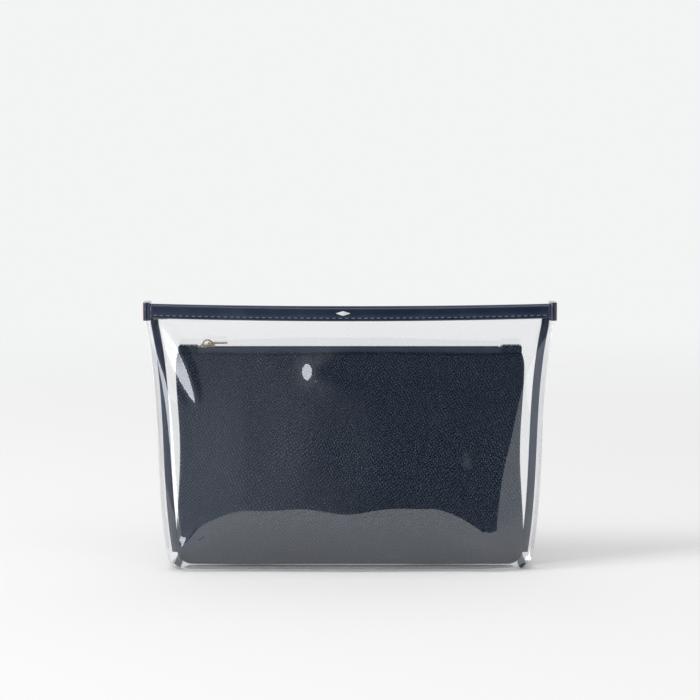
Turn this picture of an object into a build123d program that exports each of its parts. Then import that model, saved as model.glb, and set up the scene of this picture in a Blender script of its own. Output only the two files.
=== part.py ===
from build123d import *
import os
from math import sqrt

# A clear zip bag that stands on its boxed base, with a flat leather zip pouch inside it.
# Millimetres. X runs along the mouth, the front faces -Y, and Z is up from the base's centre.

# Clear sheet body: its outer size at four heights. End depths are at the sides, mid depths at X = 0.
bag_height = 155.6
mouth_width = 240.0
mouth_end_depth = 11.0
mouth_mid_depth = 15.0
shoulder_height = 100.0
shoulder_width = 227.0
shoulder_end_depth = 26.0
shoulder_mid_depth = 32.0
belly_height = 30.0
belly_width = 220.0
belly_end_depth = 46.0
belly_mid_depth = 52.0
base_width = 212.0
base_end_depth = 38.0
base_mid_depth = 41.0
sheet = 0.5

# Seams of the clear body: the side walls roll back in to a bound allowance inside the bag.
# The roll is a share of the mouth's end depth, so that it always fits in the shallowest end.
seam_roll = 0.2
allowance = 3.4
binding_width = 4.0
binding_tape = 0.4
side_seam_foot = 8.0
corner_seam_length = 26.0
corner_seam_setback = 3.4
corner_seam_lift = 1.0

# Vinyl binding and end tabs round the mouth.
vinyl = 0.6
band_height = 7.6
band_mark_size = (8.6, 2.8, 0.15)
band_mark_offset = -4.0
tab_width = 4.2
tab_rise = 2.6
tab_height = 10.8
tab_wall = 0.8
tab_fit = 0.1
collar_margin = 1.0
stitch_pitch = 3.7
stitch_length = 2.6
stitch_thread = 0.4
stitch_drop = 5.8
slip = 0.05

# Coil zips: one section serves the mouth and the pouch.
coil_width = 4.4
coil_height = 2.0
coil_gap = 1.2
tape = 0.4
stop_length = 1.0
stop_wall = 0.3
slider_length = 8.5
slider_shoulder = 7.2
slider_heel = 6.4
slider_shoulder_length = 3.4
slider_plate = 0.8
slider_play = 0.3
post_size = (1.8, 0.9)
bridge_span = 6.4
bridge_rise = 2.8
bridge_width = 1.7
bridge_bar = 0.8
pull_length = 11.0
pull_width = 3.8
pull_thickness = 0.9
pull_arm = 0.7
pull_slot = 4.4
pull_pivot = 0.6
pull_lift = 0.1
mouth_zip_drop = 5.4

# Leather pouch: its outer size at five heights above the pouch's own foot.
pouch_side_room = 2.3
pouch_headroom = 19.6
floor_gap = 0.3
leather = 1.2
collar_height = 2.6
pouch_foot_depth = 6.0
pouch_foot_inset = 8.0
pouch_heel_height = 12.0
pouch_heel_depth = 17.0
pouch_belly_height = 42.0
pouch_belly_depth = 26.0
pouch_chest_height = 88.0
pouch_chest_depth = 21.0
pouch_waist = 1.2
pouch_top_end = 7.0
zip_rise = 2.7
tape_tail = 10.0
lining = 0.4
lining_gap = 0.1
leather_tab_length = 11.2
leather_tab_height = 4.1
leather_tab_lap = 2.4
leather_tab_inset = 0.6
edge_stitch_pitch = 2.3
edge_stitch_length = 1.6
edge_stitch_thread = 0.3
edge_stitch_drop = 1.0

# Levels and half sizes that the pieces share.
seam_inset = seam_roll * mouth_end_depth
band_top = bag_height - tab_rise
band_low = band_top - band_height
collar_low = bag_height - tab_height - collar_margin
mouth_sheet_width = mouth_width - 2 * (tab_wall + tab_fit)
tab_face = mouth_width / 2 - tab_width
mouth_zip_level = band_top - mouth_zip_drop
chain_half = coil_width / 2
slider_half = coil_height / 2 + slider_play + slider_plate
channel_half = chain_half + slider_play
pouch_foot = sheet + floor_gap
pouch_top = mouth_zip_level - slider_half - pouch_headroom
pouch_height = pouch_top - pouch_foot
pouch_width = belly_width - 2 * (seam_inset + sheet + binding_width + pouch_side_room)
pouch_zip_level = pouch_top + zip_rise
tape_stand = slider_shoulder / 2 + slider_play
pouch_top_depth = 2 * (tape_stand + tape + leather)


def flat_half(width, end_depth):
    """Half the length of a face, up to where its sheet begins to roll in to the side seam."""
    roll = seam_inset + end_depth / 2 - sqrt(seam_inset * end_depth)
    return width / 2 - roll


def bag_outline(width, end_depth, mid_depth):
    """The clear body's outline at one height: bowed faces, and ends that roll in to the side seams."""
    flat = flat_half(width, end_depth)
    seam = width / 2 - seam_inset
    side = end_depth / 2
    bow = mid_depth / 2
    front = ThreePointArc((-flat, -side), (0, -bow), (flat, -side))
    front_right = TangentArc((flat, -side), (seam, 0), tangent=(1, 0))
    back_right = TangentArc((flat, side), (seam, 0), tangent=(1, 0))
    back = ThreePointArc((flat, side), (0, bow), (-flat, side))
    back_left = TangentArc((-flat, side), (-seam, 0), tangent=(-1, 0))
    front_left = TangentArc((-flat, -side), (-seam, 0), tangent=(-1, 0))
    return make_face([front, front_right, back_right, back, back_left, front_left])


def bag_form(side_cut, face_cut):
    """The bag's closed form up to the collar, with its sides and its faces drawn in by the two cuts."""
    stations = [
        (0, base_width, base_end_depth, base_mid_depth),
        (belly_height, belly_width, belly_end_depth, belly_mid_depth),
        (shoulder_height, shoulder_width, shoulder_end_depth, shoulder_mid_depth),
        (collar_low, mouth_sheet_width, mouth_end_depth, mouth_mid_depth),
    ]
    outlines = [
        Pos(0, 0, level) * bag_outline(width - 2 * side_cut, end - 2 * face_cut, mid - 2 * face_cut)
        for level, width, end, mid in stations
    ]
    return loft(outlines)


def layer(low, high):
    """A slab wider than the bag between two levels."""
    return Pos(0, 0, (low + high) / 2) * Box(2 * mouth_width, 2 * mouth_width, high - low)


def upright_slab(thickness, low, high):
    """A slab on the plane Y = 0, where the side seams run."""
    return Pos(0, 0, (low + high) / 2) * Box(2 * mouth_width, thickness, high - low)


def seam_strip(width, thickness, low, high):
    """The space of a strip that stands inside both side seams and follows them."""
    inside = bag_form(sheet, sheet) & upright_slab(thickness, low, high)
    return inside - bag_form(sheet + width, sheet)


def corner_strip(near, far, thickness):
    """A strip across the base end, leaning inward at 45 degrees, from near to far along its lean."""
    strip = Box(far - near, corner_seam_length, thickness)
    leaning = Rot(0, 45, 0) * (Pos(-(near + far) / 2, 0, 0) * strip)
    return Pos(base_width / 2 - corner_seam_setback, 0, sheet) * leaning


def clear_body():
    """One sheet: front, base and back, with the seam allowances standing inside."""
    hollow = bag_form(sheet, sheet) & layer(sheet, collar_low)
    fins = seam_strip(allowance, 2 * sheet, side_seam_foot, collar_low)
    shell = bag_form(0, 0) - (hollow - fins)
    wall = 2 * sheet
    outside = bag_outline(mouth_sheet_width, mouth_end_depth, mouth_mid_depth)
    inside = bag_outline(mouth_sheet_width - wall, mouth_end_depth - wall, mouth_mid_depth - wall)
    collar = Pos(0, 0, collar_low) * extrude(outside - inside, band_top - vinyl - collar_low)
    corner = corner_strip(0, allowance, 2 * sheet)
    return shell + collar + corner + mirror(corner, about=Plane.YZ)


def side_binding():
    """The folded tape over the right side-seam allowance."""
    tape_space = seam_strip(binding_width, 2 * (sheet + binding_tape), side_seam_foot, collar_low)
    core = seam_strip(allowance, 2 * sheet, side_seam_foot, collar_low)
    right = Pos(mouth_width / 2, 0, bag_height / 2) * Box(mouth_width, mouth_width, 2 * bag_height)
    return (tape_space - core) & right


def corner_binding():
    """The folded tape over the right boxed corner's allowance."""
    folded = corner_strip(corner_seam_lift, binding_width + binding_tape, 2 * (sheet + binding_tape))
    return folded - corner_strip(0, allowance, 2 * sheet)


def bowed_wall(inset, thickness, low, high, half_length):
    """A wall standing along the front lip, its near face inset from the sheet's outer face."""
    side = mouth_end_depth / 2
    bow = mouth_mid_depth / 2
    flat = flat_half(mouth_sheet_width, mouth_end_depth)
    near = ThreePointArc((-flat, inset - side), (0, inset - bow), (flat, inset - side))
    far = Pos(0, thickness) * near
    face = make_face([near, Line(near @ 1, far @ 1), far, Line(far @ 0, near @ 0)])
    wall = Pos(0, 0, low) * extrude(face, high - low)
    return wall & Box(2 * half_length, 2 * mouth_mid_depth, 4 * bag_height)


def lip_face_y(x):
    """Y of the front lip's outer face at x, on the arc of the bow."""
    side = mouth_end_depth / 2
    bow = mouth_mid_depth / 2 - side
    flat = flat_half(mouth_sheet_width, mouth_end_depth)
    radius = (flat**2 + bow**2) / (2 * bow)
    return radius - mouth_mid_depth / 2 - sqrt(radius**2 - x**2)


def mouth_binding():
    """Folded vinyl over the front lip: sheet and zip tape are held in its slot."""
    length = tab_face - tab_fit
    slot = sheet + slip + tape
    leaf_low = mouth_zip_level + tape
    folded = bowed_wall(-vinyl, slot + 2 * vinyl, band_low, band_top, length)
    folded -= bowed_wall(0, slot, band_low, band_top - vinyl, length)
    return folded - bowed_wall(slot, 2 * vinyl, band_low, leaf_low, length)


def mouth_zip_tape():
    """Tape from the front lip's slot down to the zip's level, then in to the coil."""
    length = tab_face - tab_fit
    low = mouth_zip_level - tape / 2
    leaf = bowed_wall(sheet + slip, tape, low, band_top - vinyl, length)
    reach = mouth_mid_depth / 2 - sheet
    deck = bowed_wall(sheet + slip, reach, low, low + tape, length)
    deck &= Pos(0, -mouth_mid_depth / 2 - chain_half, 0) * Box(mouth_width, mouth_mid_depth, 4 * bag_height)
    return leaf + deck


def end_tab():
    """Folded vinyl over the right end of the mouth."""
    depth = mouth_end_depth + 2 * (tab_wall + tab_fit)
    middle = mouth_width / 2 - tab_width / 2
    level = bag_height - tab_height / 2
    outside = Pos(middle, 0, level) * Box(tab_width, depth, tab_height)
    outside = fillet(outside.edges().filter_by(Axis.Z).group_by(Axis.X)[-1], tab_wall)
    outside = fillet(outside.faces().sort_by(Axis.Z)[-1].edges(), 0.5 * tab_wall)
    hollow = Box(tab_width, depth - 2 * tab_wall, tab_height)
    return outside - Pos(middle - tab_wall, 0, level - tab_wall) * hollow


def stitch_row(pitch, length, thread, end, place):
    """A row of stitches along X; place gives the thread's centre at each x."""
    count = int(2 * end / pitch)
    first = -(count - 1) * pitch / 2
    stitches = [Pos(*place(first + i * pitch)) * Box(length, thread, thread) for i in range(count)]
    return Compound(stitches)


def band_stitches():
    """The stitch row on the front mouth binding."""
    out = vinyl + slip + stitch_thread / 2
    level = band_top - stitch_drop
    size = stitch_pitch, stitch_length, stitch_thread
    return stitch_row(*size, tab_face, lambda x: (x, lip_face_y(x) - out, level))


def band_mark():
    """A small plain printed lozenge on the front binding."""
    length, height, proud = band_mark_size
    face_y = lip_face_y(band_mark_offset) - vinyl
    corners = [(-length / 2, 0), (0, -height / 2), (length / 2, 0), (0, height / 2)]
    lozenge = extrude(Plane.XZ * make_face(Polyline(*corners, close=True)), proud)
    return Pos(band_mark_offset, face_y, band_top - stitch_drop + height) * lozenge


def coil(half_length):
    """The front half of a coil chain as one rounded bar, centred on the zip's own axis."""
    width = chain_half - coil_gap / 2
    bar = Box(2 * half_length, width, coil_height)
    bar = fillet(bar.edges().filter_by(Axis.X), width / 4)
    return Pos(0, -chain_half + width / 2, 0) * bar


def zip_stop():
    """A metal clamp across both coils, where the chain ends."""
    return Box(stop_length, coil_width, coil_height + 2 * stop_wall)


def zip_slider():
    """Slider with its channel on the zip's axis, its shoulder towards -X and its bridge on top."""
    half = slider_length / 2
    shoulder = slider_shoulder / 2
    heel = slider_heel / 2
    taper = slider_shoulder_length - half
    right_side = [(-half, -shoulder), (taper, -shoulder), (half, -heel)]
    left_side = [(half, heel), (taper, shoulder), (-half, shoulder)]
    plan = Polyline(*right_side, *left_side, close=True)
    body = Pos(0, 0, -slider_half) * extrude(make_face(plan), 2 * slider_half)
    body = fillet(body.edges().filter_by(Axis.Z), slider_plate)
    body = fillet(body.faces().sort_by(Axis.Z)[-1].edges(), slider_plate / 2)
    body -= Box(2 * slider_length, 2 * channel_half, 2 * (coil_height / 2 + slider_play))
    body -= Box(2 * slider_length, 2 * slider_length, tape + 2 * slider_play)
    post = Box(post_size[0], post_size[1], 2 * slider_half - slider_plate)
    return body + Pos(-half + post_size[0], 0, 0) * post + zip_bridge()


def zip_bridge():
    """The arch over the slider that holds the pull."""
    foot = slider_half - slider_plate / 2
    crest = slider_half + bridge_rise
    half = bridge_span / 2
    inner = half - bridge_bar
    outside = ThreePointArc((-half, foot), (0, crest), (half, foot))
    inside = ThreePointArc((inner, foot), (0, crest - bridge_bar), (-inner, foot))
    right_foot = Line((half, foot), (inner, foot))
    left_foot = Line((-inner, foot), (-half, foot))
    arch = make_face([outside, right_foot, inside, left_foot])
    return Pos(0, bridge_width / 2, 0) * extrude(Plane.XZ * arch, bridge_width)


def pivot_level():
    """Height of the pull's crossbar over the zip's axis."""
    return slider_half + slider_play / 2 + pull_thickness / 2 + pull_lift


def zip_pull():
    """Pull lying towards +X: a crossbar under the bridge, two arms beside it and a plate."""
    plate = Pos(pull_length / 2, 0, 0) * Box(pull_length, pull_width, pull_thickness)
    plate = fillet(plate.edges().filter_by(Axis.Z), pull_width / 3)
    plate -= Pos(pull_slot / 2, 0, 0) * Box(pull_slot, pull_width - 2 * pull_arm, 2 * pull_thickness)
    plate -= Pos(-pull_length, 0, 0) * Box(2 * pull_length, 2 * pull_width, 2 * pull_thickness)
    eye = Pos(pull_length - pull_width / 2, 0, 0) * Cylinder(pull_width / 6, 2 * pull_thickness)
    bar = Rot(90, 0, 0) * Cylinder(pull_thickness / 2, pull_width)
    return Pos(pull_pivot, 0, pivot_level()) * (plate - eye + bar)


def pouch_outline(width, depth, end):
    """The pouch's outline at one height: flat faces with rounded ends."""
    flat = width / 2 - end
    side = depth / 2
    front = Line((-flat, -side), (flat, -side))
    right = EllipticalCenterArc((flat, 0), end, side, start_angle=-90, arc_size=180)
    back = Line((flat, side), (-flat, side))
    left = EllipticalCenterArc((-flat, 0), end, side, start_angle=90, arc_size=180)
    return make_face([front, right, back, left])


def pouch_form(cut):
    """The puffed pouch up to its collar, drawn in all round by the cut."""
    collar_foot = pouch_height - collar_height
    stations = [
        (0, pouch_width - 2 * pouch_foot_inset, pouch_foot_depth, pouch_foot_depth),
        (pouch_heel_height, pouch_width, pouch_heel_depth, 2 * pouch_heel_depth),
        (pouch_belly_height, pouch_width - pouch_waist, pouch_belly_depth, 2 * pouch_belly_depth),
        (pouch_chest_height, pouch_width - pouch_waist, pouch_chest_depth, 2 * pouch_chest_depth),
        (collar_foot, pouch_width - pouch_waist, pouch_top_depth, pouch_top_end),
    ]
    outlines = [
        Pos(0, 0, level) * pouch_outline(width - 2 * cut, depth - 2 * cut, end)
        for level, width, depth, end in stations
    ]
    top = outlines[-1]
    return Pos(0, 0, pouch_foot) * (loft(outlines) + extrude(top, collar_height))


def pouch_panel():
    """The front leather panel: the pouch's shell in front of the side seams."""
    hollow = pouch_form(leather) & layer(pouch_foot + leather, bag_height)
    front_half = Pos(0, -mouth_width / 2, 0) * Box(2 * mouth_width, mouth_width, 4 * bag_height)
    return (pouch_form(0) - hollow) & front_half


def pouch_lining():
    """A thin bag inside the leather, open at the top and sewn to the zip tapes' tails."""
    outer_cut = leather + lining_gap
    inner_cut = outer_cut + lining
    top = pouch_top - tape_tail - lining_gap
    outside = pouch_form(outer_cut) & layer(pouch_foot + outer_cut, top)
    return outside - (pouch_form(inner_cut) & layer(pouch_foot + inner_cut, bag_height))


def pouch_zip_tape():
    """Front tape: flat beside the coil, then down inside the leather's top edge."""
    length = 2 * chain_end()
    top = pouch_zip_level + tape / 2
    low = pouch_top - tape_tail
    deck_depth = tape_stand + tape - chain_half
    deck = Pos(0, -chain_half - deck_depth / 2, pouch_zip_level) * Box(length, deck_depth, tape)
    tail = Pos(0, -tape_stand - tape / 2, (top + low) / 2) * Box(length, tape, top - low)
    return deck + tail


def pouch_end():
    """Half the length of the pouch's top, over the end tabs."""
    return pouch_width / 2 - pouch_waist / 2 - leather_tab_inset


def chain_end():
    """Half the length of the pouch zip between its end tabs."""
    return pouch_end() - leather_tab_length - tab_fit


def leather_tab():
    """Right end tab: leather folded over the zip's end, with a tongue between the panels."""
    low = pouch_top + tab_fit
    middle = pouch_end() - leather_tab_length / 2
    depth = 2 * (tape_stand + tape + leather / 2)
    cap = Pos(middle, 0, low + leather_tab_height / 2) * Box(leather_tab_length, depth, leather_tab_height)
    cap = fillet(cap.edges().filter_by(Axis.Z).group_by(Axis.X)[-1], leather)
    cap = fillet(cap.faces().sort_by(Axis.Z)[-1].edges(), leather / 2)
    tongue_length = leather_tab_length / 3
    tongue_x = pouch_end() - leather_tab_length + tongue_length / 2
    tongue_depth = 2 * (tape_stand + tape / 2)
    tongue_height = leather_tab_lap + tab_fit + leather
    tongue = Box(tongue_length, tongue_depth, tongue_height)
    return cap + Pos(tongue_x, 0, low + leather - tongue_height / 2) * tongue


def edge_stitches():
    """The stitch row along the front leather's top edge."""
    out = pouch_top_depth / 2 + slip + edge_stitch_thread / 2
    level = pouch_top - edge_stitch_drop - edge_stitch_thread / 2
    end = pouch_end() - pouch_top_depth / 2
    size = edge_stitch_pitch, edge_stitch_length, edge_stitch_thread
    return stitch_row(*size, end, lambda x: (x, -out, level))


def front_and_back(front):
    """A front piece and its mirror image behind the zip's centre line."""
    return front, mirror(front, about=Plane.XZ)


def left_and_right(right):
    """A piece at the right end and its mirror image at the left end."""
    return mirror(right, about=Plane.YZ), right


mouth_chain_end = tab_face - tab_fit - stop_length
pouch_chain_end = chain_end() - tab_fit - stop_length
mouth_slider_rest = slider_length / 2 + slider_play - mouth_chain_end
pouch_slider_rest = slider_length / 2 + slider_play - pouch_chain_end

nodes = {"clear_body": clear_body(), "band_mark": band_mark()}
nodes["left_seam_binding"], nodes["right_seam_binding"] = left_and_right(side_binding())
nodes["left_corner_binding"], nodes["right_corner_binding"] = left_and_right(corner_binding())
nodes["front_mouth_binding"], nodes["back_mouth_binding"] = front_and_back(mouth_binding())
nodes["left_mouth_end_tab"], nodes["right_mouth_end_tab"] = left_and_right(end_tab())
nodes["front_mouth_stitches"], nodes["back_mouth_stitches"] = front_and_back(band_stitches())
nodes["front_mouth_zip_tape"], nodes["back_mouth_zip_tape"] = front_and_back(mouth_zip_tape())
nodes["front_pouch_leather"], nodes["back_pouch_leather"] = front_and_back(pouch_panel())
nodes["pouch_lining"] = pouch_lining()
nodes["front_pouch_zip_tape"], nodes["back_pouch_zip_tape"] = front_and_back(pouch_zip_tape())
nodes["left_pouch_zip_tab"], nodes["right_pouch_zip_tab"] = left_and_right(leather_tab())
nodes["front_pouch_stitches"], nodes["back_pouch_stitches"] = front_and_back(edge_stitches())

zips = [
    ("mouth", mouth_zip_level, mouth_chain_end, mouth_slider_rest),
    ("pouch", pouch_zip_level, pouch_chain_end, pouch_slider_rest),
]
for name, level, end, rest in zips:
    axis = Pos(0, 0, level)
    nodes[f"front_{name}_coil"], nodes[f"back_{name}_coil"] = front_and_back(axis * coil(end))
    stop = axis * Pos(end + stop_length / 2, 0, 0) * zip_stop()
    nodes[f"left_{name}_zip_stop"], nodes[f"right_{name}_zip_stop"] = left_and_right(stop)
    nodes[f"{name}_zip_slider"] = axis * Pos(rest, 0, 0) * zip_slider()
    nodes[f"{name}_zip_pull"] = axis * Pos(rest, 0, 0) * zip_pull()

os.makedirs("parts", exist_ok=True)
for name, shape in nodes.items():
    export_step(shape, f"parts/{name}.step")

print("mouth slider rests at X", mouth_slider_rest, "on level", mouth_zip_level)
print("pouch slider rests at X", pouch_slider_rest, "on level", pouch_zip_level)
print("pull pivot stands over the zip's axis by", pivot_level())
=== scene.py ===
import math

import bmesh
import bpy
import numpy as np
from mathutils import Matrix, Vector


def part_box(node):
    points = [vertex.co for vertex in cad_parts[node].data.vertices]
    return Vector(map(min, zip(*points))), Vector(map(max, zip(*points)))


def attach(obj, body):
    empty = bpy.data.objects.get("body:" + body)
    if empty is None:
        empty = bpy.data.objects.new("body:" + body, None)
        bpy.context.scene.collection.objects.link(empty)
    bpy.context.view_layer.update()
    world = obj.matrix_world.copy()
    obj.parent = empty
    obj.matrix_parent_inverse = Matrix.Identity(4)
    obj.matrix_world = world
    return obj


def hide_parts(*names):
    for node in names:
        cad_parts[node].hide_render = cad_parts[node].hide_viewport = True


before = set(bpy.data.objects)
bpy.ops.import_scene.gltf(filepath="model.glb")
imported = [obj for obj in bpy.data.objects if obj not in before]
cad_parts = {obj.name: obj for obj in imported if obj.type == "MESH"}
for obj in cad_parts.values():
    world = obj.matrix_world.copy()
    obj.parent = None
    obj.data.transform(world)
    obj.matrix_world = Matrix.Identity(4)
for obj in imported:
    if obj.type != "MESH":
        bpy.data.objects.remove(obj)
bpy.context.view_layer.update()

mm = 0.001

# Camera.
# A long lens a little above the table, looking square at the front of the bag.
camera_aim = Vector((0, 0, 127.2 * mm))
camera_distance = 1.4
camera_rise = math.radians(6)
bpy.ops.object.select_all(action="DESELECT")
bpy.ops.object.camera_add(rotation=(math.pi / 2 - camera_rise, 0, 0))
camera = bpy.context.object
camera.location = camera_aim + camera_distance * Vector((0, -math.cos(camera_rise), math.sin(camera_rise)))
camera.data.lens = 123.6
bpy.context.scene.camera = camera
bpy.context.scene.view_settings.view_transform = "Standard"

# Studio.
# A pale round table top that fades into a pale room, a key light from the left and a bright wall to the
# right. The room on the camera's side is dark but for one window, so clear film shows what it mirrors.


def add_node(tree, kind, inputs=None, **settings):
    """Adds a node with its settings; each input takes a number, a colour or another node's socket."""
    made = tree.nodes.new(kind)
    for name, value in settings.items():
        setattr(made, name, value)
    for socket, value in (inputs or {}).items():
        if isinstance(value, bpy.types.NodeSocket):
            tree.links.new(value, made.inputs[socket])
        else:
            made.inputs[socket].default_value = value
    return made


def add_ramp(tree, value, start, end, low=0.0, high=1.0):
    """A smooth step of the value from low at start to high at end."""
    inputs = {0: value, 1: start, 2: end, 3: low, 4: high}
    return add_node(tree, "ShaderNodeMapRange", inputs, interpolation_type="SMOOTHSTEP").outputs[0]


def add_math(tree, operation, first, second=0.0):
    """The result of one sum on two values."""
    return add_node(tree, "ShaderNodeMath", {0: first, 1: second}, operation=operation).outputs[0]


def add_mix(tree, share, first, second):
    """The first colour, going over to the second as the share goes from 0 to 1."""
    return add_node(tree, "ShaderNodeMix", {0: share, 6: first, 7: second}, data_type="RGBA").outputs[2]


def object_place(tree):
    """The point's place on its own object."""
    return add_node(tree, "ShaderNodeTexCoord").outputs["Object"]


def new_material(name):
    """An empty node material and its output node."""
    material = bpy.data.materials.new(name)
    material.use_nodes = True
    material.node_tree.nodes.clear()
    output = add_node(material.node_tree, "ShaderNodeOutputMaterial")
    return material, material.node_tree, output


room_colour = (0.895, 0.9, 0.905, 1)
world = bpy.data.worlds.new("studio")
bpy.context.scene.world = world
world.use_nodes = True
tree = world.node_tree
tree.nodes.clear()
direction = add_node(tree, "ShaderNodeTexCoord").outputs["Generated"]
across = add_node(tree, "ShaderNodeSeparateXYZ", {0: direction}).outputs
overhead = add_ramp(tree, across["Z"], 0.5, 0.75, 0.03, 1.0)
right_side = add_ramp(tree, across["X"], 0.3, 0.315, 0, 0.85)
left_side = add_ramp(tree, across["X"], 0.15, -0.35, 0, 0.45)
backdrop = add_ramp(tree, across["Y"], 0.1, 0.4, 0, 0.9)
window_edges = (("X", -0.38, -0.41), ("X", -0.68, -0.62), ("Z", -0.24, -0.2), ("Z", 0.6, 0.52))
window = add_ramp(tree, across["Z"], -0.03, 0.0, 1.8, 5.5)
for axis, outer_edge, inner_edge in window_edges:
    window = add_math(tree, "MULTIPLY", window, add_ramp(tree, across[axis], outer_edge, inner_edge))
mirrored = overhead
for panel in (right_side, left_side, backdrop, window):
    mirrored = add_math(tree, "MAXIMUM", mirrored, panel)
soft = add_ramp(tree, across["Z"], -0.1, 0.9, 0.34, 0.93)
path = add_node(tree, "ShaderNodeLightPath").outputs
glow = add_node(tree, "ShaderNodeMix", {0: path["Is Glossy Ray"], 2: soft, 3: mirrored}).outputs[0]
cool = add_mix(tree, path["Is Glossy Ray"], (1, 0.997, 0.99, 1), (0.91, 0.94, 1.0, 1))
lit = add_node(tree, "ShaderNodeBackground", {"Color": cool, "Strength": glow})
seen = add_node(tree, "ShaderNodeBackground", {"Color": room_colour})
inputs = {0: path["Is Camera Ray"], 1: lit.outputs[0], 2: seen.outputs[0]}
mixed = add_node(tree, "ShaderNodeMixShader", inputs)
add_node(tree, "ShaderNodeOutputWorld", {"Surface": mixed.outputs[0]})

table_radius = 4.0
table_edge = 0.8
bpy.ops.object.select_all(action="DESELECT")
bpy.ops.mesh.primitive_circle_add(vertices=96, radius=table_radius, fill_type="NGON")
table_top = bpy.context.object
table_top.name = "table_top"
material, tree, output = new_material("table_top")
away = add_node(tree, "ShaderNodeVectorMath", {0: object_place(tree)}, operation="LENGTH").outputs["Value"]
fading = add_ramp(tree, away, 0.3, 1.5)
cut_off = add_math(tree, "GREATER_THAN", away, table_edge)
path = add_node(tree, "ShaderNodeLightPath").outputs["Is Camera Ray"]
choice = add_node(tree, "ShaderNodeMix", {0: path, 2: cut_off, 3: fading}).outputs[0]
pale = add_node(tree, "ShaderNodeBsdfDiffuse", {"Color": (0.8, 0.8, 0.803, 1)})
clear = add_node(tree, "ShaderNodeBsdfTransparent")
surface = add_node(tree, "ShaderNodeMixShader", {0: choice, 1: pale.outputs[0], 2: clear.outputs[0]})
tree.links.new(surface.outputs[0], output.inputs["Surface"])
table_top.data.materials.append(material)

lamp_aim = Vector((0, 0, 60 * mm))
studio_lamps = [
    ("key_lamp", (-2.5, -1.1, 2.0), 1.2, 62),
    ("fill_lamp", (0.9, -0.9, 1.3), 0.9, 2),
]
for name, place, size, power in studio_lamps:
    bpy.ops.object.light_add(type="AREA", location=place)
    lamp = bpy.context.object
    lamp.name = name
    lamp.data.size = size
    lamp.data.energy = power
    lamp.rotation_euler = (lamp_aim - Vector(place)).to_track_quat("-Z", "Y").to_euler()

# Clear body.
# One sheet of clear soft PVC: front, base and back in a piece, folded under the base and sewn up both
# sides with the seam turned in. It stands by itself, a little wavy, and its foot edges are soft folds.
body_levels = (0, 30, 100, 143.8)
body_widths = (106, 110, 113.5, 119.1)
body_end_depths = (19, 23, 13, 5.5)
body_mid_depths = (20.5, 26, 16, 7.5)
sheet = 0.5
seam_inset = 2.2
foot_radius = 5.0
lip_columns = 16
flat_columns = 76
wall_rows = 112
foot_rows = 8
base_rows = 8
right_roll = 33.0
left_roll = 12.5
shallow_end = 6
shallow_span = 5
pinch_start = 0.02
pinch_level = 12
upright_level = 42.0
middle_rise = 33.0
corner_rise = 9.0
mouth_rise = 0.9
mouth_sag = 1.6
facet_top = (-111, 144)
facet_tip = (-89, 96)
facet_half_width = 4.4
facet_slope = 0.2
facet_fade = 5
dent_x = -20
dent_z = 116
dent_depth = 2.0
dent_left = 6.3
dent_right = 17
dent_height = 7.4
dent_spread = 0.3
crease_x = -102
crease_z = 8
crease_course = (0.591, 0.806)
crease_depth = 0.85
crease_half_width = 2.2
crease_half_length = 9
mouth_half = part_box("front_mouth_binding")[1].x / mm
sheet_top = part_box("clear_body")[1].z / mm


def at_level(values, level):
    """The body's size at a level, on the cubic through its four stations; the collar is upright."""
    return np.polyval(np.polyfit(body_levels, values, 3), np.minimum(level, body_levels[-1]))


def half_outline(u, width, end, mid, inset):
    """X and Y of the front half of the outline, from the left seam at u = -1 to the right one at u = 1."""
    radius = end - np.sqrt(2 * inset * end) + inset
    last_turn = np.arcsin(np.clip((end - radius) / radius, 0, 1))
    lip_start = flat_columns / (flat_columns + lip_columns)
    rolled = np.clip((np.abs(u) - lip_start) / (1 - lip_start), 0, 1)
    turn = -np.pi / 2 + rolled * (last_turn + np.pi / 2)
    out = np.clip(np.abs(u) / lip_start, 0, 1)
    broad = np.clip((end - shallow_end) / shallow_span, 0, 1)
    reach = radius + (np.where(u > 0, right_roll, left_roll) - radius) * broad
    rolling = width - np.where(turn < 0, reach, radius) * (1 - np.cos(turn))
    x = np.where(rolled > 0, rolling, (width - reach) * out)
    y = np.where(rolled > 0, radius * (1 + np.sin(turn)) - end, -end - (mid - end) * (1 - out**2) ** 2)
    return np.sign(u) * x, y


def mouth_droop(x):
    """How far the mouth's edge hangs below or stands above its straight line, at x."""
    return mouth_rise - mouth_sag * (1 - (x / mouth_half) ** 2)


def new_grid(name, columns, rows):
    """A square grid of that many faces, its corners at -1 and 1."""
    bpy.ops.object.select_all(action="DESELECT")
    bpy.ops.mesh.primitive_grid_add(x_subdivisions=columns, y_subdivisions=rows, size=2)
    piece = bpy.context.object
    piece.name = name
    return piece


def read_points(piece):
    """The piece's points as an array, one row each."""
    points = np.empty(len(piece.data.vertices) * 3)
    piece.data.vertices.foreach_get("co", points)
    return points.reshape(-1, 3)


def place_points(piece, x, y, z):
    """Gives the piece's points their places, in millimetres."""
    points = np.stack(np.broadcast_arrays(x, y, z), axis=1) * mm
    piece.data.vertices.foreach_set("co", points.ravel())
    piece.data.update()


def edit(piece):
    """Opens only this piece in edit mode, with nothing selected in it."""
    bpy.ops.object.select_all(action="DESELECT")
    piece.select_set(True)
    bpy.context.view_layer.objects.active = piece
    bpy.ops.object.mode_set(mode="EDIT")
    bpy.ops.mesh.select_all(action="DESELECT")


def close_up(piece, outward=True):
    """Merges points that meet and turns the faces outward."""
    edit(piece)
    bpy.ops.mesh.select_all(action="SELECT")
    bpy.ops.mesh.remove_doubles(threshold=0.01 * mm)
    bpy.ops.mesh.dissolve_degenerate(threshold=0.001 * mm)
    bpy.ops.mesh.normals_make_consistent(inside=not outward)
    bpy.ops.object.mode_set(mode="OBJECT")


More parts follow.
